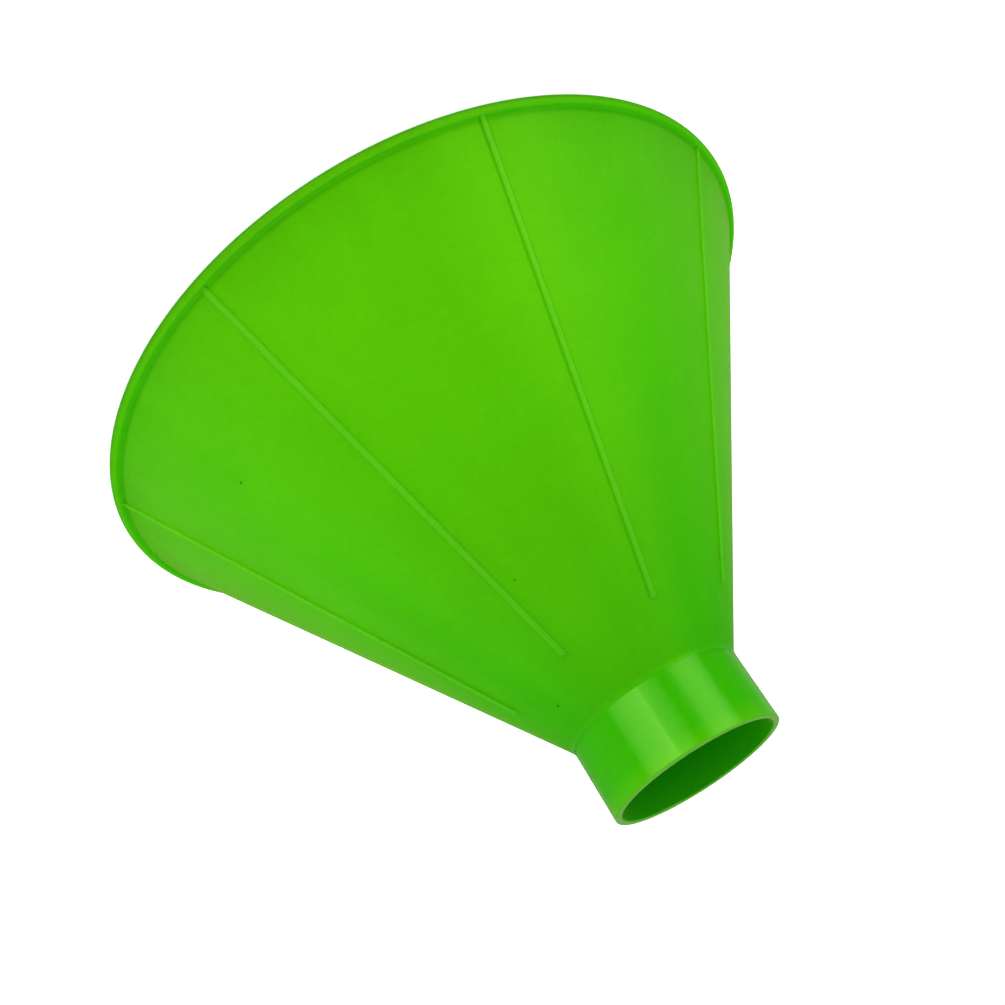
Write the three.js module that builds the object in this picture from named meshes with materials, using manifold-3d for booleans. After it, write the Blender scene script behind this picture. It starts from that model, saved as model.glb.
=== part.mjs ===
// Wide-mouth plastic filling funnel, millimetres, +Z up.
// It stands mouth down: the rim's flat face is the plane z = 0, the axis is +Z and the spout
// points up. The origin is the centre of the rim's flat face.
//
// The features of the moulding are separate named solids that touch on shared faces: the rim
// bead, the conical wall, the spout and eight ribs that run down the outside of the cone.
import * as THREE from "three";
import { mergeVertices } from "three/addons/utils/BufferGeometryUtils.js";
import Module from "manifold-3d";

// ---- driving dimensions ---------------------------------------------------------------------
const WALL = 1.4; // wall thickness, measured square to the surface
const SEGMENTS = 96; // facets round the axis, a multiple of the rib count
const TOTAL_H = 101.0; // from the rim's face to the spout's tip

const MOUTH_R = 75.0; // outer radius of the rim bead, the widest circle
const RIM_TOP = 1.9; // height of the rim bead
const BEAD_R = RIM_TOP / 2; // radius of the bead's half-round outside
const RIM_EDGE_R = 0.3; // rounding of the mouth's inner edge

const CONE_R0 = 74.55; // outer radius of the cone's surface carried down to z = 0
const CONE_SLOPE = 0.66; // loss of radius for each millimetre of height

const NECK_Z = 85.94; // height at which SPOUT_R0 is measured
const NECK_FILLET = 3.0; // radius of the outside fillet between cone and spout
const NECK_STEPS = 4; // facets along the fillet
const SPLIT_GAP = 0.25; // from the top of the fillet to the joint of cone wall and spout
const SPOUT_R0 = 17.88; // spout's outer radius at NECK_Z
const SPOUT_R1 = 17.8; // spout's outer radius carried to its tip, smaller by the draft
const TIP_EDGE_R = 0.35; // rounding of both edges of the spout's tip
const EDGE_STEPS = 3; // facets along each small edge rounding

const RIB_COUNT = 8;
const RIB_FIRST_DEG = 22.5; // azimuth of rib_1
const RIB_TOP_W = 1.1; // nominal width of a rib's crown
const RIB_BASE_W = 1.8; // nominal width near the cone's surface
const RIB_H = 0.55; // height above the cone's surface
const RIB_SINK = 0.45; // depth it is drawn below that surface before being cut flush
const RIB_CORNER_R = 0.55; // plan radius of its end corners where it is RIB_BASE_W wide
const RIB_START_Z = RIM_TOP - 1.2; // inside the bead, before being cut flush
const RIB_END_Z = 76.1; // where a rib ends, short of the neck

// Sections of a rib from its sunken base to its crown: [width, height above the cone].
// They give it drafted sides and a softened crown.
const RIB_LEVELS = [
  [RIB_BASE_W + 0.1, -RIB_SINK],
  [RIB_BASE_W - 0.1, RIB_H * 0.25],
  [RIB_TOP_W + 0.22, RIB_H * 0.82],
  [RIB_TOP_W - 0.2, RIB_H],
];

// ---- surfaces of the cone and the spout: radius at a height ---------------------------------
const coneAngle = Math.atan(CONE_SLOPE); // between the cone's surface and the axis
const coneCos = Math.cos(coneAngle);
const coneR = (z) => CONE_R0 - CONE_SLOPE * z;
const coneInnerR = (z) => coneR(z) - WALL / coneCos;

const spoutSlope = (SPOUT_R0 - SPOUT_R1) / (TOTAL_H - NECK_Z);
const spoutAngle = Math.atan(spoutSlope);
const spoutCos = Math.cos(spoutAngle);
const spoutR = (z) => SPOUT_R0 - spoutSlope * (z - NECK_Z);
const spoutInnerR = (z) => spoutR(z) - WALL / spoutCos;

// ---- helpers --------------------------------------------------------------------------------
// (radius, height) points on an arc between two angles in degrees.
function arc(centreR, centreZ, radius, fromDeg, toDeg, steps) {
  const points = [];
  for (let i = 0; i <= steps; i++) {
    const angle = THREE.MathUtils.degToRad(fromDeg + ((toDeg - fromDeg) * i) / steps);
    points.push([centreR + radius * Math.cos(angle), centreZ + radius * Math.sin(angle)]);
  }
  return points;
}

// A solid of revolution about +Z from a closed (radius, height) outline listed anticlockwise.
function revolve(outline) {
  const points = outline.map(([r, z]) => new THREE.Vector2(r, z));
  points.push(points[0].clone());
  const geometry = new THREE.LatheGeometry(points, SEGMENTS);
  geometry.rotateX(Math.PI / 2); // LatheGeometry turns about Y
  geometry.rotateZ(Math.PI / 2); // puts a column of vertices on +X
  return geometry;
}

const manifold = await Module();
manifold.setup();

function toSolid(geometry) {
  // Seams close only when vertices are matched by position alone.
  const bare = geometry.clone();
  bare.deleteAttribute("normal");
  bare.deleteAttribute("uv");
  const merged = mergeVertices(bare, 1e-4);
  return new manifold.Manifold(
    new manifold.Mesh({
      numProp: 3,
      vertProperties: merged.attributes.position.array,
      triVerts: new Uint32Array(merged.index.array),
    }),
  );
}

function toGeometry(solid) {
  const { vertProperties, triVerts } = solid.getMesh();
  const geometry = new THREE.BufferGeometry();
  geometry.setAttribute("position", new THREE.Float32BufferAttribute(vertProperties, 3));
  geometry.setIndex(new THREE.BufferAttribute(new Uint32Array(triVerts), 1));
  geometry.computeVertexNormals();
  return geometry;
}

// ---- neck: the outside fillet, and the same curve offset inwards by the wall ----------------
// The fillet's centre is NECK_FILLET outside both surfaces, so its height solves
// coneR(z) + NECK_FILLET / coneCos = spoutR(z) + NECK_FILLET / spoutCos.
const filletZ =
  (CONE_R0 -
    SPOUT_R0 -
    spoutSlope * NECK_Z +
    NECK_FILLET * (1 / coneCos - 1 / spoutCos)) /
  (CONE_SLOPE - spoutSlope);
const filletR = coneR(filletZ) + NECK_FILLET / coneCos;

// The arc runs from square to the cone's surface to square to the spout's.
function neckArc(radius) {
  const coneSide = 180 + THREE.MathUtils.radToDeg(coneAngle);
  const spoutSide = 180 + THREE.MathUtils.radToDeg(spoutAngle);
  return arc(filletR, filletZ, radius, coneSide, spoutSide, NECK_STEPS);
}

const neckOuter = neckArc(NECK_FILLET);
const neckInner = neckArc(NECK_FILLET + WALL);

// The cone wall and the spout meet on this horizontal plane.
const splitZ = Math.max(neckOuter[NECK_STEPS][1], neckInner[NECK_STEPS][1]) + SPLIT_GAP;

// ---- pieces of revolution -------------------------------------------------------------------
// A flat standing face, a half-round bead outside and a small round on the inner edge.
function rimGeometry() {
  return revolve([
    ...arc(coneInnerR(0) + RIM_EDGE_R, RIM_EDGE_R, RIM_EDGE_R, 200, 270, EDGE_STEPS),
    ...arc(MOUTH_R - BEAD_R, BEAD_R, BEAD_R, 270, 450, 10),
    [coneR(RIM_TOP), RIM_TOP],
    [coneInnerR(RIM_TOP), RIM_TOP],
  ]);
}

// The cone from the top of the rim, through the neck, to the joint with the spout.
function coneGeometry() {
  const middleZ = RIB_END_Z / 2; // an extra ring of vertices part way up
  return revolve([
    [coneR(RIM_TOP), RIM_TOP],
    [coneR(middleZ), middleZ],
    ...neckOuter,
    [spoutR(splitZ), splitZ],
    [spoutInnerR(splitZ), splitZ],
    ...neckInner.toReversed(),
    [coneInnerR(middleZ), middleZ],
    [coneInnerR(RIM_TOP), RIM_TOP],
  ]);
}

// The drafted tube above the joint, with both edges of its tip rounded.
function spoutGeometry() {
  const edgeZ = TOTAL_H - TIP_EDGE_R;
  const outerEdgeR = spoutR(edgeZ) - TIP_EDGE_R;
  const innerEdgeR = spoutInnerR(edgeZ) + TIP_EDGE_R;
  return revolve([
    [spoutR(splitZ), splitZ],
    ...arc(outerEdgeR, edgeZ, TIP_EDGE_R, 0, 90, EDGE_STEPS),
    ...arc(innerEdgeR, edgeZ, TIP_EDGE_R, 90, 180, EDGE_STEPS),
    [spoutInnerR(splitZ), splitZ],
  ]);
}

// ---- ribs -----------------------------------------------------------------------------------
// Plan of a rib at a given width: straight sides, and rounded corners at the spout end.
function ribPlan(width) {
  const length = (RIB_END_Z - RIB_START_Z) / coneCos;
  const corner = RIB_CORNER_R * (width / RIB_BASE_W);
  const cornerY = length - corner;
  const plan = new THREE.Shape();
  plan.moveTo(-width / 2, 0);
  plan.lineTo(width / 2, 0);
  plan.lineTo(width / 2, cornerY);
  plan.absarc(width / 2 - corner, cornerY, corner, 0, Math.PI / 2, false);
  plan.absarc(-width / 2 + corner, cornerY, corner, Math.PI / 2, Math.PI, false);
  plan.closePath();
  return plan.extractPoints(4).shape.slice(0, -1); // the last point repeats the first
}

// A low trapezoid bar laid along the cone's surface at azimuth 0, not yet cut flush.
function ribBarGeometry() {
  const loops = RIB_LEVELS.map(([width]) => ribPlan(width));
  const count = loops[0].length;
  const vertices = loops.flatMap((loop, level) =>
    loop.flatMap(({ x, y }) => [x, y, RIB_LEVELS[level][1]]),
  );

  const triangles = [];
  const topLevel = loops.length - 1;
  for (let level = 0; level < topLevel; level++) {
    for (let i = 0; i < count; i++) {
      const here = level * count + i;
      const next = level * count + ((i + 1) % count);
      triangles.push(here, next, next + count);
      triangles.push(here, next + count, here + count);
    }
  }
  for (const [a, b, c] of THREE.ShapeUtils.triangulateShape(loops[0], [])) {
    triangles.push(a, c, b); // the base faces down
  }
  const top = topLevel * count;
  for (const [a, b, c] of THREE.ShapeUtils.triangulateShape(loops[topLevel], [])) {
    triangles.push(top + a, top + b, top + c);
  }

  const geometry = new THREE.BufferGeometry();
  geometry.setAttribute("position", new THREE.Float32BufferAttribute(vertices, 3));
  geometry.setIndex(triangles);

  // local x across the rib, local y along the slant towards the spout, local z outwards
  const along = new THREE.Vector3(-Math.sin(coneAngle), 0, coneCos);
  const outward = new THREE.Vector3(coneCos, 0, Math.sin(coneAngle));
  const across = new THREE.Vector3().crossVectors(along, outward);
  const placing = new THREE.Matrix4().makeBasis(across, along, outward);
  placing.setPosition(coneR(RIB_START_Z), 0, RIB_START_Z);
  return geometry.applyMatrix4(placing);
}

// ---- materials ------------------------------------------------------------------------------
function greenPlastic(name, roughness) {
  return new THREE.MeshStandardMaterial({ name, color: 0x54c306, roughness, metalness: 0 });
}

const satin = greenPlastic("satin_polypropylene", 0.55);
const gloss = greenPlastic("gloss_polypropylene", 0.22);

// ---- assembly -------------------------------------------------------------------------------
const funnel = new THREE.Group();
funnel.name = "funnel";

function add(name, geometry, material) {
  const mesh = new THREE.Mesh(geometry, material);
  mesh.name = name;
  funnel.add(mesh);
}

const rim = rimGeometry();
const cone = coneGeometry();
add("rim_bead", rim, satin);
add("cone_wall", cone, satin);
add("spout", spoutGeometry(), gloss);

// Each rib is cut flush with the cone and the rim, so it only touches them.
const rimSolid = toSolid(rim);
const coneSolid = toSolid(cone);
const ribBar = ribBarGeometry();
for (let i = 0; i < RIB_COUNT; i++) {
  const azimuth = THREE.MathUtils.degToRad(RIB_FIRST_DEG + (360 / RIB_COUNT) * i);
  const bar = toSolid(ribBar.clone().rotateZ(azimuth));
  const rib = bar.subtract(coneSolid).subtract(rimSolid);
  add(`rib_${i + 1}`, toGeometry(rib), satin);
}

export default funnel;
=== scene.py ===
"""A green plastic funnel, standing mouth down on z = 0 with its spout up the +Z axis.

A rolled bead rings the mouth, eight low ribs run up the outside of the cone, and a fillet
joins the cone to a polished spout. Shape sizes are in millimetres.
"""
import math

import bpy
from mathutils import Matrix, Vector


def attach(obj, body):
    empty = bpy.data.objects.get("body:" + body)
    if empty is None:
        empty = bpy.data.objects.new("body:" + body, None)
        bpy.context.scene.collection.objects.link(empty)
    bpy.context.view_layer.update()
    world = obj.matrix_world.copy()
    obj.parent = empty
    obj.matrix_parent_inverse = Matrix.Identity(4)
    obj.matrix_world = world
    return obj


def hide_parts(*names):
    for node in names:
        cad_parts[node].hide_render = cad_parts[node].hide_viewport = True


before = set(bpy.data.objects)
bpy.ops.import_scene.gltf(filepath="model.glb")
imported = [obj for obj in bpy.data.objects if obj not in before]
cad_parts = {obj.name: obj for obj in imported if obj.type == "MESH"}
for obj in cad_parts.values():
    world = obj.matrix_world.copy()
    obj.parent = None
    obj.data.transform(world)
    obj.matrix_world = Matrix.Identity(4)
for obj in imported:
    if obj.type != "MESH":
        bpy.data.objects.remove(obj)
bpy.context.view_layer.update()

MM = 0.001

# ---- driving dimensions -------------------------------------------------------------------------
WALL = 1.4
CONE_R0 = 74.55  # the cone's outer radius at z = 0
SLOPE = 0.66  # radius lost per millimetre of height
BEAD_OUTER_R = 75.0
RIM_TOP = 1.9
BEAD_R = RIM_TOP / 2
MOUTH_EDGE_R = 0.3
CREASE_R = 0.55  # fillet between the bead's top and the cone
NECK_Z = 85.94
NECK_FILLET = 3.0
SPOUT_R0 = 17.88  # outer radius at the neck
SPOUT_R1 = 17.80  # outer radius at the tip
TIP_R = 0.35
TOTAL_H = 101.0

RIB_COUNT = 8
RIB_PITCH = 360 / RIB_COUNT  # degrees
RIB_START_Z = RIM_TOP - 1.2
RIB_END_Z = 76.1
RIB_END_INSET = 0.80
RIB_CORNER_R = 0.38
RIB_WIDE = 0.72  # loops of a greater half width have larger corners
RIB_SIDE_STEPS, RIB_CORNER_STEPS = 72, 14

# The rib's loops from foot to crown: (half width, height above the cone's surface).
RIB_LEVELS = [
    (0.72, -0.45), (0.89, -0.10), (0.87, -0.012), (0.83, 0.006), (0.78, 0.035),
    (0.73, 0.09), (0.69, 0.16), (0.65, 0.24), (0.61, 0.32), (0.56, 0.385),
    (0.49, 0.43), (0.40, 0.455), (0.27, 0.467), (0.11, 0.47),
]

HALF_ANGLE = math.atan(SLOPE)
COS, SIN = math.cos(HALF_ANGLE), math.sin(HALF_ANGLE)
SPOUT_SLOPE = (SPOUT_R0 - SPOUT_R1) / (TOTAL_H - NECK_Z)
SPOUT_ANGLE = math.atan(SPOUT_SLOPE)
SPOUT_COS = math.cos(SPOUT_ANGLE)


def cone_r(z):
    return CONE_R0 - SLOPE * z


def inner_r(z):
    return cone_r(z) - WALL / COS


def spout_r(z):
    return SPOUT_R0 - SPOUT_SLOPE * (z - NECK_Z)


def spout_in(z):
    return spout_r(z) - WALL / SPOUT_COS


def arc(centre_r, centre_z, radius, start, end, steps):
    """Points (r, z) along an arc, its angles in degrees."""
    angles = [math.radians(start + (end - start) * i / steps) for i in range(steps + 1)]
    return [(centre_r + radius * math.cos(a), centre_z + radius * math.sin(a)) for a in angles]


def line(start, end, steps):
    """Evenly spaced points from just after start up to end."""
    return [
        (
            start[0] + (end[0] - start[0]) * (i + 1) / steps,
            start[1] + (end[1] - start[1]) * (i + 1) / steps,
        )
        for i in range(steps)
    ]


# ---- mesh builders ------------------------------------------------------------------------------
def make_piece(name, verts, faces, sharp_angle=50.0):
    mesh = bpy.data.meshes.new(name)
    mesh.from_pydata([tuple(c * MM for c in v) for v in verts], [], faces)
    mesh.validate()
    mesh.update()
    obj = bpy.data.objects.new(name, mesh)
    bpy.context.scene.collection.objects.link(obj)
    mesh.shade_smooth()
    mesh.set_sharp_from_angle(angle=math.radians(sharp_angle))
    return obj


def revolve(name, outline, segments=384):
    """A closed ring solid from a closed (radius, z) outline listed anticlockwise."""
    n = len(outline)
    verts, faces = [], []
    for j in range(segments):
        turn = 2 * math.pi * j / segments
        c, s = math.cos(turn), math.sin(turn)
        verts += [(r * c, r * s, z) for r, z in outline]
        a, b = j * n, ((j + 1) % segments) * n
        for i in range(n):
            k = (i + 1) % n
            faces.append((a + i, b + i, b + k, a + k))
    return make_piece(name, verts, faces)


# ---- outlines -----------------------------------------------------------------------------------
CONE_SIDE = 180 + math.degrees(HALF_ANGLE)  # where a fillet's arc touches the cone
SPOUT_SIDE = 180 + math.degrees(SPOUT_ANGLE)

# The crease is tangent to z = RIM_TOP and to the cone's outer line.
crease_z = RIM_TOP + CREASE_R
crease = arc(cone_r(crease_z) + CREASE_R / COS, crease_z, CREASE_R, 270, CONE_SIDE, 10)
SEAM_Z = crease[-1][1] + 0.35  # the rim piece runs a little way up the cone
seam_out, seam_in = (cone_r(SEAM_Z), SEAM_Z), (inner_r(SEAM_Z), SEAM_Z)

# The neck fillet is tangent to the cone and to the spout.
neck_z = (
    CONE_R0 - SPOUT_R0 - SPOUT_SLOPE * NECK_Z + NECK_FILLET * (1 / COS - 1 / SPOUT_COS)
) / (SLOPE - SPOUT_SLOPE)
neck_r = cone_r(neck_z) + NECK_FILLET / COS
neck_out = arc(neck_r, neck_z, NECK_FILLET, CONE_SIDE, SPOUT_SIDE, 14)
neck_in = arc(neck_r, neck_z, NECK_FILLET + WALL, CONE_SIDE, SPOUT_SIDE, 14)
SPLIT_Z = max(neck_out[-1][1], neck_in[-1][1]) + 0.25  # the cone piece ends above the fillet
split_out, split_in = (spout_r(SPLIT_Z), SPLIT_Z), (spout_in(SPLIT_Z), SPLIT_Z)


def rim_outline():
    wall_foot_z = 0.45
    points = arc(inner_r(0) + MOUTH_EDGE_R, MOUTH_EDGE_R, MOUTH_EDGE_R, 203.7, 270, 6)
    points += arc(BEAD_OUTER_R - BEAD_R, BEAD_R, BEAD_R, 270, 450, 28)
    points += crease + [seam_out, seam_in]
    return points + line(seam_in, (inner_r(wall_foot_z), wall_foot_z), 4)


def cone_outline():
    points = [seam_out] + line(seam_out, neck_out[0], 64) + neck_out[1:]
    points += [split_out, split_in] + neck_in[::-1]
    return points + line(neck_in[0], seam_in, 40)


def spout_outline():
    tip_z = TOTAL_H - TIP_R
    outer, inner = spout_r(tip_z), spout_in(tip_z)
    points = [split_out] + line(split_out, (outer, tip_z - 0.15), 14)
    points += arc(outer - TIP_R, tip_z, TIP_R, 0, 90, 8)
    points += arc(inner + TIP_R, tip_z, TIP_R, 90, 180, 8)
    return points + line((inner, tip_z), split_in, 14)


def rib_loop(half_width):
    """The rib's plan at one height: x across it, y up the cone's slope."""
    end = (RIB_END_Z - RIB_START_Z) / COS + half_width - RIB_END_INSET
    corner = min(RIB_CORNER_R + max(0.0, half_width - RIB_WIDE), half_width * 0.96)
    side = [(half_width, (end - corner) * i / RIB_SIDE_STEPS) for i in range(RIB_SIDE_STEPS + 1)]
    side += arc(half_width - corner, end - corner, corner, 0, 90, RIB_CORNER_STEPS)[1:]
    return side + [(-x, y) for x, y in reversed(side)]


def rib(name, azimuth):
    """A drafted bar on the cone with a rounded crown and a small fillet at its foot."""

    def place(x, y, height):
        z = RIB_START_Z + y * COS
        r = cone_r(z)
        angle = math.radians(azimuth) + x / r
        r_out = r + height * COS
        return (r_out * math.cos(angle), r_out * math.sin(angle), z + height * SIN)

    verts = [place(x, y, h) for half_width, h in RIB_LEVELS for x, y in rib_loop(half_width)]
    n = len(verts) // len(RIB_LEVELS)
    top = len(verts) - n
    faces = []
    for a in range(0, top, n):
        b = a + n
        for i in range(n):
            k = (i + 1) % n
            faces.append((a + i, a + k, b + k, b + i))
    # strips between the two sides close the crown and the underside
    for i in range(n // 2 - 1):
        j = n - 1 - i
        faces.append((top + i, top + i + 1, top + j - 1, top + j))
        faces.append((i + 1, i, j, j - 1))
    return make_piece(name, verts, faces, sharp_angle=60)


# ---- node trees ---------------------------------------------------------------------------------
class Nodes:
    """A short way to write the node tree of a material or world."""

    def __init__(self, owner):
        owner.use_nodes = True
        self.tree = owner.node_tree
        self.tree.nodes.clear()

    def node(self, kind, inputs=None, **props):
        made = self.tree.nodes.new(kind)
        for key, value in props.items():
            setattr(made, key, value)
        for key, value in (inputs or {}).items():
            if isinstance(value, bpy.types.NodeSocket):
                self.tree.links.new(value, made.inputs[key])
            else:
                made.inputs[key].default_value = value
        return made

    def math(self, operation, *values):
        inputs = dict(enumerate(values))
        return self.node("ShaderNodeMath", inputs, operation=operation).outputs[0]

    def add(self, a, b):
        return self.math("ADD", a, b)

    def sub(self, a, b):
        return self.math("SUBTRACT", a, b)

    def mul(self, a, b):
        return self.math("MULTIPLY", a, b)

    def weighted(self, first, *rest):
        """The sum of (value, weight) pairs."""
        term = self.mul(*first)
        return self.add(term, self.weighted(*rest)) if rest else term

    def swing(self, noise, reach):
        """Noise centred on zero and scaled."""
        return self.mul(self.sub(noise, 0.5), reach)

    def vmath(self, operation, *values):
        made = self.node("ShaderNodeVectorMath", dict(enumerate(values)), operation=operation)
        return made.outputs["Value" if operation in ("LENGTH", "DISTANCE") else 0]

    def separate(self, vector):
        return self.node("ShaderNodeSeparateXYZ", {0: vector}).outputs

    def combine(self, *parts, kind="XYZ"):
        return self.node("ShaderNodeCombine" + kind, dict(enumerate(parts))).outputs[0]

    def noise(self, vector, scale, detail=2.0, rough=0.5):
        inputs = {"Vector": vector, "Scale": scale, "Detail": detail, "Roughness": rough}
        return self.node("ShaderNodeTexNoise", inputs).outputs[0]

    def remap(self, value, span, to=(0.0, 1.0), smooth=False):
        return self.node(
            "ShaderNodeMapRange",
            {
                "Value": value,
                "From Min": span[0],
                "From Max": span[1],
                "To Min": to[0],
                "To Max": to[1],
            },
            interpolation_type="SMOOTHSTEP" if smooth else "LINEAR",
            clamp=True,
        ).outputs[0]

    def mix(self, factor, a, b, blend="MIX"):
        inputs = {0: factor, 6: a, 7: b}
        return self.node("ShaderNodeMix", inputs, data_type="RGBA", blend_type=blend).outputs[2]

    def tinted(self, colour, tint):
        return self.mix(1.0, colour, tint, "MULTIPLY")

    def ramp(self, value, stops, span=1.0):
        """A colour ramp; each stop is (place within span, grey or rgb)."""
        made = self.node("ShaderNodeValToRGB", {0: value})
        elements = made.color_ramp.elements
        while len(elements) > 1:
            elements.remove(elements[0])
        for i, (at, colour) in enumerate(stops):
            rgb = colour if isinstance(colour, tuple) else (colour,) * 3
            stop = elements.new(at / span) if i else elements[0]
            stop.position = at / span
            stop.color = rgb + (1.0,)
        return made.outputs[0]


# ---- plastic ------------------------------------------------------------------------------------
# Green by height in millimetres, with painted light and shade: a little paler by the rim, darker
# towards the spout.
SATIN_GREEN_SHADED = [
    (0.0, (0.0840, 0.5650, 0.0016)),
    (9.0, (0.0880, 0.5850, 0.0016)),
    (25.0, (0.0850, 0.5850, 0.0014)),
    (46.0, (0.0730, 0.5600, 0.0014)),
    (58.0, (0.0670, 0.5280, 0.0014)),
    (69.0, (0.0565, 0.5080, 0.0014)),
    (77.0, (0.0460, 0.4900, 0.0012)),
    (86.0, (0.0400, 0.4800, 0.0010)),
]
POLISHED_RGB = (0.0375, 0.4680, 0.0006)
POLISHED_GREEN = [(86.0, POLISHED_RGB), (102.0, POLISHED_RGB)]
GREEN_SPAN = 110.0  # height covered by the ramps
GREEN_DRIFT = 26.0  # how far flow marks shift the bands of green

# Small dark inclusions on the outside of the cone: (x, y, z, radius, darkness).
SPECKS = [
    (42.5, -42.2, 22.2, 0.30, 0.75),
    (9.7, -31.7, 62.8, 0.26, 0.60),
    (15.3, -14.7, 80.8, 0.30, 0.75),
    (-11.7, -61.8, 17.6, 0.26, 0.22),
    (-19.8, -56.2, 22.6, 0.22, 0.18),
    (-38.0, 34.5, 36.0, 0.26, 0.50),
    (12.5, 52.5, 31.2, 0.24, 0.45),
]
SPECK_COLOUR = (0.020, 0.100, 0.008, 1.0)

# painted shade for the crease between the bead and the cone
GROOVE_SHADE_TINT = (0.52, 0.87, 0.20, 1.0)
# painted highlight on a rib's crown and painted shade on its sides
CROWN_HIGHLIGHT_COLOUR, CROWN_HIGHLIGHT_SHARE = (0.90, 1.0, 0.50, 1.0), 0.014
FLANK_SHADE_TINT = (0.82, 0.93, 0.50, 1.0)
# painted shade in the spout's bore: darkest deep inside, lighter towards its open end
BORE_DEEP_SHADE = (0.0140, 0.4700, 0.0004, 1.0)
BORE_END_LIT = (0.0330, 0.5700, 0.0012, 1.0)
SPOUT_END = (0.0700, 0.5050, 0.0012, 1.0)
# painted highlight: the lip's paler colour
LIP_HIGHLIGHT_COLOUR = (0.1080, 0.5000, 0.0150, 1.0)
LIP_ROUGH = 0.26  # roughness added on the lip

SATIN_TINT = (0.60, 1.00, 0.02, 1.0)  # of the specular reflection
GLOSS_TINT = (0.62, 1.00, 0.22, 1.0)
SATIN_SHEEN = (0.18, (0.64, 1.0, 0.03, 1.0))  # greatest weight, tint
GLOSS_SHEEN = (0.22, (0.66, 1.0, 0.22, 1.0))
GLOSS_ROUGH = 0.085
POLISH_Z = 86.2  # the cone piece is polished above this height
POLISH_WANDER = 0.4  # unevenness of that edge
GRAIN_POLISHED_OFF = 0.93  # share of the grain that polishing removes
WAVE_HEIGHT = 0.010
FLOW_ROUND, FLOW_UP = 9.0, 0.018  # flow marks are stretched along the height


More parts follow.
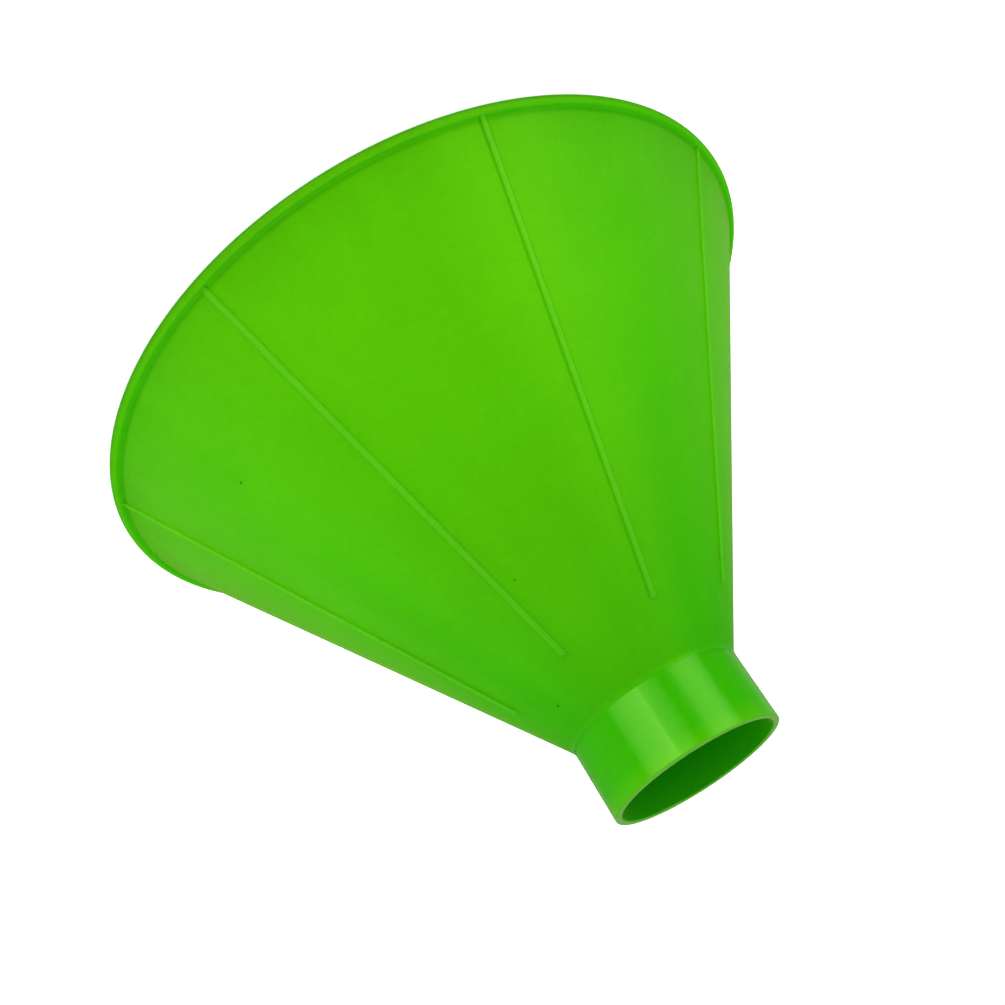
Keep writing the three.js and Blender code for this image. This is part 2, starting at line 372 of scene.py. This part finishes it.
class Plastic(Nodes):
    """A plastic material's tree, with the coordinates its patterns use."""

    def __init__(self, name):
        self.material = bpy.data.materials.new(name)
        super().__init__(self.material)
        coord = self.node("ShaderNodeTexCoord").outputs["Object"]
        self.mm = self.vmath("MULTIPLY", coord, (1000.0, 1000.0, 1000.0))
        self.x, self.y, self.z = self.separate(self.mm)
        self.flat = self.combine(self.x, self.y, 0.0)
        radial = self.separate(self.vmath("NORMALIZE", self.flat))
        self.flow = self.combine(
            self.mul(radial[0], FLOW_ROUND),
            self.mul(radial[1], FLOW_ROUND),
            self.mul(self.z, FLOW_UP),
        )

    def axis_distance(self):
        return self.vmath("LENGTH", self.flat)

    def pigment_and_shade(self, greens, tone):
        """The green by height (for the satin, painted shade darker towards the spout), varied by
        clouds, flow streaks and a fine mottle.
        """
        amount = self.weighted(
            (self.noise(self.mm, scale=0.045, detail=3.0, rough=0.55), 0.45),
            (self.noise(self.flow, scale=1.6, detail=3.0, rough=0.6), 0.20),
            (self.noise(self.mm, scale=0.75, rough=0.6), 0.35),
        )
        drift = self.swing(self.noise(self.flow, scale=0.8), GREEN_DRIFT)
        height = self.math("DIVIDE", self.add(self.z, drift), GREEN_SPAN)
        # for the satin this ramp is painted shade: paler by the rim, darker towards the spout
        green = self.ramp(height, greens, GREEN_SPAN)
        vary = self.remap(amount, span=(0.34, 0.66), to=(0.945 * tone, 1.055 * tone))
        warm = self.remap(amount, span=(0.34, 0.66), to=(0.90 * tone, 1.10 * tone))
        return self.tinted(green, self.combine(warm, vary, warm, kind="Color"))

    def crease_shade(self, colour):
        """Paints shade into the crease between the bead and the cone by darkening the colour there.
        """
        from_groove = self.combine(
            self.sub(self.axis_distance(), cone_r(RIM_TOP)), self.sub(self.z, RIM_TOP), 0.0
        )
        distance = self.vmath("LENGTH", from_groove)
        # painted shade, strongest along the crease
        shade_amount = self.remap(distance, span=(0.35, 1.20), to=(1.0, 0.0), smooth=True)
        return self.mix(shade_amount, colour, self.tinted(colour, GROOVE_SHADE_TINT))

    def specks(self, colour):
        wobble = self.noise(self.mm, scale=2.2, detail=1.0)
        dark = None
        for x, y, z, radius, amount in SPECKS:
            distance = self.vmath("DISTANCE", self.mm, (x, y, z))
            distance = self.add(distance, self.swing(wobble, radius * 1.6))
            span = (radius * 0.35, radius * 1.5)
            spot = self.remap(distance, span, to=(amount, 0.0), smooth=True)
            dark = spot if dark is None else self.math("MAXIMUM", dark, spot)
        # a scatter of far smaller ones, in some of the cells
        cells = self.node("ShaderNodeTexVoronoi", {"Vector": self.mm, "Scale": 0.055}, feature="F1")
        pick = self.node("ShaderNodeSeparateColor", {0: cells.outputs["Color"]}).outputs[0]
        distance = cells.outputs["Distance"]
        tiny = self.mul(
            self.remap(distance, span=(0.007, 0.016), to=(0.35, 0.0), smooth=True),
            self.math("GREATER_THAN", pick, 0.55),
        )
        return self.mix(self.math("MAXIMUM", dark, tiny), colour, SPECK_COLOUR)

    def rib_highlight_and_shade(self, colour):
        """Painted light on a rib: a paler crown as a painted highlight and darker sides as painted
        shade, by distance from its middle line.
        """
        half_pitch = math.radians(RIB_PITCH / 2)
        azimuth = self.math("ARCTAN2", self.y, self.x)
        turn = self.math("WRAP", self.sub(azimuth, half_pitch), half_pitch, -half_pitch)
        off = self.mul(self.math("ABSOLUTE", turn), self.axis_distance())
        side = self.remap(off, span=(0.42, 0.64), smooth=True)
        # painted highlight on the crown, painted shade on the sides
        crown = self.mix(CROWN_HIGHLIGHT_SHARE, colour, CROWN_HIGHLIGHT_COLOUR)
        return self.mix(side, crown, self.tinted(colour, FLANK_SHADE_TINT))

    def spout_zones_and_painted_light(self, colour, rough):
        """Painted shade deeper in the bore, lighter near its open end, warmer towards the end, and
        a paler painted highlight on the lip, which is also duller.
        """
        inside = self.remap(self.axis_distance(), span=(16.70, 17.00), to=(1.0, 0.0))
        bore_up = self.remap(self.z, span=(93.0, TOTAL_H - 0.5), smooth=True)
        # painted shade deep in the bore, lighter up towards the open end
        colour = self.mix(inside, colour, self.mix(bore_up, BORE_DEEP_SHADE, BORE_END_LIT))
        near_end = self.remap(self.z, span=(96.5, TOTAL_H - 0.3), smooth=True)
        colour = self.mix(self.mul(near_end, self.sub(1.0, inside)), colour, SPOUT_END)
        # painted highlight: the lip is paler
        lip = self.remap(self.z, span=(TOTAL_H - 0.34, TOTAL_H - 0.10), smooth=True)
        return self.mix(lip, colour, LIP_HIGHLIGHT_COLOUR), self.add(rough, self.mul(lip, LIP_ROUGH))

    def grain(self):
        return self.weighted(
            (self.noise(self.mm, scale=2.6, rough=0.55), 0.6),
            (self.noise(self.mm, scale=6.5, detail=1.0), 0.4),
        )

    def polished(self):
        """0 on the satin, 1 on the polished top of the cone piece."""
        edge = self.noise(self.mm, scale=0.25, detail=1.0)
        edge = self.add(self.z, self.swing(edge, POLISH_WANDER))
        return self.remap(edge, span=(POLISH_Z - 0.2, POLISH_Z + 0.3), smooth=True)


def plastic(name, part, roughness, grain, tone=1.0):
    """The material of one part: "rim", "rib", "cone" or "spout"."""
    t = Plastic(name)
    is_spout = part == "spout"
    # the satin green by height is painted shade, darker towards the spout
    colour = t.crease_shade(t.pigment_and_shade(POLISHED_GREEN if is_spout else SATIN_GREEN_SHADED, tone))
    if part == "cone":
        colour = t.specks(colour)
    patches = t.noise(t.mm, scale=0.9, detail=3.0, rough=0.6)
    rough = t.remap(patches, span=(0.3, 0.7), to=(roughness * 0.9, roughness * 1.1))
    height = t.mul(t.grain(), grain)
    wave = t.noise(t.flow, scale=0.9)
    spec_tint = t.node("ShaderNodeRGB").outputs[0]
    spec_tint.default_value = GLOSS_TINT if is_spout else SATIN_TINT
    if part == "cone":
        polished = t.polished()
        satin_rough = t.mul(rough, t.sub(1.0, polished))
        rough = t.add(satin_rough, t.mul(polished, GLOSS_ROUGH))
        height = t.mul(height, t.sub(1.0, t.mul(polished, GRAIN_POLISHED_OFF)))
        spec_tint = t.mix(polished, spec_tint, GLOSS_TINT)
        colour = t.mix(polished, colour, POLISHED_RGB + (1.0,))
    elif part == "rib":
        # painted highlight on the rib's crown, painted shade on its sides
        colour = t.rib_highlight_and_shade(colour)
    elif is_spout:
        # painted shade in the bore and a painted highlight on the lip
        colour, rough = t.spout_zones_and_painted_light(colour, rough)
    height = t.add(height, t.mul(wave, WAVE_HEIGHT))
    bump = t.node("ShaderNodeBump", {"Strength": 1.0, "Distance": 0.001, "Height": height})

    # at grazing angles the satin loses its shine and scatters light in its own colour
    facing = t.node("ShaderNodeLayerWeight", {"Blend": 0.5}).outputs["Facing"]
    level = 1.0
    if not is_spout:
        least = 0.10 if part == "cone" else 0.03
        level = t.remap(facing, span=(0.06, 0.34), to=(1.0, least), smooth=True)
    if part in ("rim", "cone"):
        # painted shade at grazing angles: the colour is darkened a little there, so that it does
        # not gain what the shine gives up
        even = t.remap(facing, span=(0.06, 0.40), to=(1.0, 0.93))
        colour = t.tinted(colour, t.combine(even, even, even, kind="Color"))
    sheen_weight, sheen_tint = GLOSS_SHEEN if is_spout else SATIN_SHEEN
    sheen = t.mul(t.remap(facing, span=(0.35, 1.0)), sheen_weight)
    if part == "cone":
        satin = t.sub(1.0, polished)
        level = t.add(t.mul(level, satin), polished)
        sheen = t.mul(sheen, satin)
    bsdf = t.node(
        "ShaderNodeBsdfPrincipled",
        {
            "Base Color": colour,
            "Roughness": rough,
            "IOR": 1.49,
            "Specular IOR Level": level,
            "Sheen Weight": sheen,
            "Sheen Roughness": 0.5,
            "Sheen Tint": sheen_tint,
            "Specular Tint": spec_tint,
            "Normal": bump.outputs[0],
        },
    )
    t.node("ShaderNodeOutputMaterial", {0: bsdf.outputs[0]})
    return t.material


satin_rim = plastic("satin_polypropylene_rim", "rim", roughness=0.38, grain=0.0060)
# painted light: a tone of 1.02 makes the ribs a little paler than the cone
satin_rib = plastic("satin_polypropylene_rib", "rib", roughness=0.38, grain=0.0060, tone=1.02)
satin_cone = plastic("satin_polypropylene_cone", "cone", roughness=0.37, grain=0.0100)
gloss = plastic("polished_polypropylene", "spout", roughness=GLOSS_ROUGH, grain=0.0006)


# ---- the pieces ---------------------------------------------------------------------------------
def fit(piece, node, material):
    """Gives a piece its material and puts it in place of a CAD node."""
    piece.data.materials.append(material)
    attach(piece, "root")
    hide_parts(node)


fit(revolve("rim_bead_skin", rim_outline()), "rim_bead", satin_rim)
fit(revolve("cone_wall_skin", cone_outline()), "cone_wall", satin_cone)
fit(revolve("spout_skin", spout_outline()), "spout", gloss)
for i in range(RIB_COUNT):
    azimuth = RIB_PITCH / 2 + RIB_PITCH * i
    fit(rib(f"rib_{i + 1}_skin", azimuth), f"rib_{i + 1}", satin_rib)

# ---- floor, in metres ---------------------------------------------------------------------------
FLOOR_R, FLOOR_SIDES, FLOOR_Z = 6.0, 96, -0.00003
FLOOR_GLOW = 0.98  # light the floor gives the funnel
FLOOR_LIFT = 0.80  # light added to the floor as the camera sees it
GLOW_EDGE = (0.078, 0.086)  # the glow starts just outside the funnel's mouth


def floor_material():
    material = bpy.data.materials.new("floor_white")
    t = Nodes(material)
    diffuse = t.node("ShaderNodeBsdfDiffuse", {"Color": (0.80, 0.80, 0.80, 1.0)})
    camera_ray = t.node("ShaderNodeLightPath").outputs["Is Camera Ray"]
    coord = t.node("ShaderNodeTexCoord").outputs["Object"]
    glow = t.mul(t.remap(t.vmath("LENGTH", coord), GLOW_EDGE), FLOOR_GLOW)
    strength = t.node("ShaderNodeMix", {0: camera_ray, 2: glow, 3: FLOOR_LIFT}).outputs[0]
    white = (1.0, 1.0, 1.0, 1.0)
    emission = t.node("ShaderNodeEmission", {"Color": white, "Strength": strength})
    both = t.node("ShaderNodeAddShader", {0: diffuse.outputs[0], 1: emission.outputs[0]})
    t.node("ShaderNodeOutputMaterial", {0: both.outputs[0]})
    material.cycles.emission_sampling = "NONE"
    return material


def build_floor():
    turns = [2 * math.pi * i / FLOOR_SIDES for i in range(FLOOR_SIDES)]
    verts = [(FLOOR_R * math.cos(a), FLOOR_R * math.sin(a), FLOOR_Z) for a in turns]
    mesh = bpy.data.meshes.new("floor")
    mesh.from_pydata(verts, [], [tuple(range(FLOOR_SIDES))])
    floor = bpy.data.objects.new("floor", mesh)
    bpy.context.scene.collection.objects.link(floor)
    floor.visible_glossy = False  # it never shows as a reflection
    floor.data.materials.append(floor_material())


build_floor()

# ---- world --------------------------------------------------------------------------------------
# What shiny surfaces reflect, as (azimuth in degrees, share of BOX): a tall softbox at about
# 200-230, a stronger low one at 280-320, and a dim studio between and behind.
BOX = 2.3
LOW_BAND = [
    (0, 0.045), (30, 0.030), (48, 0.025), (60, 0.045), (90, 0.090), (120, 0.095),
    (132, 0.085), (142, 0.035), (152, 0.020), (168, 0.010), (190, 0.004), (198, 0.36),
    (206, 0.62), (220, 0.61), (230, 0.50), (238, 0.14), (244, 0.004), (252, 0.004),
    (258, 0.20), (272, 0.48), (278, 0.58), (280, 1.02), (284, 0.95), (290, 0.80),
    (304, 0.64), (312, 0.50), (320, 0.32), (327, 0.004), (338, 0.030), (346, 0.050),
]
HIGH_BAND = [
    (0, 0.022), (66, 0.022), (78, 0.12), (106, 0.12), (118, 0.022),
    (190, 0.022), (202, 0.52), (228, 0.52), (242, 0.022), (359, 0.022),
]
OVERHEAD = (0.06, 0.06, 0.06, 1.0)

# What lights the plastic, as (sine of elevation, share of DOME): a broad soft light overhead
# and an even, dimmer surround.
DOME = 2.68
DOME_STOPS = [
    (0.0, 0.144), (0.105, 0.160), (0.208, 0.168), (0.342, 0.165), (0.500, 0.160), (0.643, 0.194),
    (0.766, 0.308), (0.866, 0.505), (0.940, 0.738), (0.985, 0.927), (1.0, 1.0),
]
MORE_FROM_Y, MORE_FROM_X = 0.16, 0.07  # extra share of light from +Y and from +X


def build_world():
    world = bpy.data.worlds.new("studio")
    bpy.context.scene.world = world
    t = Nodes(world)
    world.cycles.sampling_method = "NONE"
    x, y, z = t.separate(t.node("ShaderNodeTexCoord").outputs["Generated"])

    turn = t.math("DIVIDE", t.math("ARCTAN2", y, x), 2 * math.pi)
    turn = t.math("FRACT", t.add(turn, 1.0))
    low = t.ramp(turn, LOW_BAND, 360.0)
    high = t.ramp(turn, HIGH_BAND, 360.0)
    shiny = t.mix(t.remap(z, span=(-0.16, 0.02), smooth=True), low, high)
    shiny = t.mix(t.remap(z, span=(0.45, 0.70), smooth=True), shiny, OVERHEAD)
    shiny = t.vmath("MULTIPLY", shiny, (BOX, BOX, BOX))

    dome = t.ramp(z, DOME_STOPS)
    tilt = t.mul(t.add(t.weighted((y, MORE_FROM_Y), (x, MORE_FROM_X)), 1.0), DOME)
    soft = t.vmath("MULTIPLY", dome, t.combine(tilt, tilt, tilt))

    # the camera itself sees plain white
    path = t.node("ShaderNodeLightPath").outputs
    seen = t.mix(path["Is Camera Ray"], soft, (1.0, 1.0, 1.0, 1.0))
    seen = t.mix(path["Is Glossy Ray"], seen, shiny)
    background = t.node("ShaderNodeBackground", {"Color": seen, "Strength": 1.0})
    t.node("ShaderNodeOutputWorld", {0: background.outputs[0]})


build_world()

# ---- camera: above and on the -Y side, rolled so that the spout points down in the picture -------
CAMERA_PLACE = (5.93955670, -222.08013960, 146.04412474)  # millimetres
CAMERA_AXES = (
    (-0.84561103, 0.21431090, 0.48888938),  # the picture's right
    (-0.53209009, -0.41164949, -0.73988163),  # the picture's up
    (0.04268636, -0.88578526, 0.46212806),  # back from the scene
)


def build_camera():
    data = bpy.data.cameras.new("camera")
    data.sensor_width = 36.0
    data.lens = 42.4577
    data.shift_x = data.shift_y = -0.029851
    data.clip_start = 0.01
    data.clip_end = 20.0
    camera = bpy.data.objects.new("camera", data)
    bpy.context.scene.collection.objects.link(camera)
    matrix = Matrix(CAMERA_AXES).transposed().to_4x4()
    matrix.translation = Vector(CAMERA_PLACE) * MM
    camera.matrix_world = matrix
    bpy.context.scene.camera = camera


build_camera()

view = bpy.context.scene.view_settings
view.view_transform = "Standard"
view.look = "None"
view.exposure = 0.0
view.gamma = 1.0
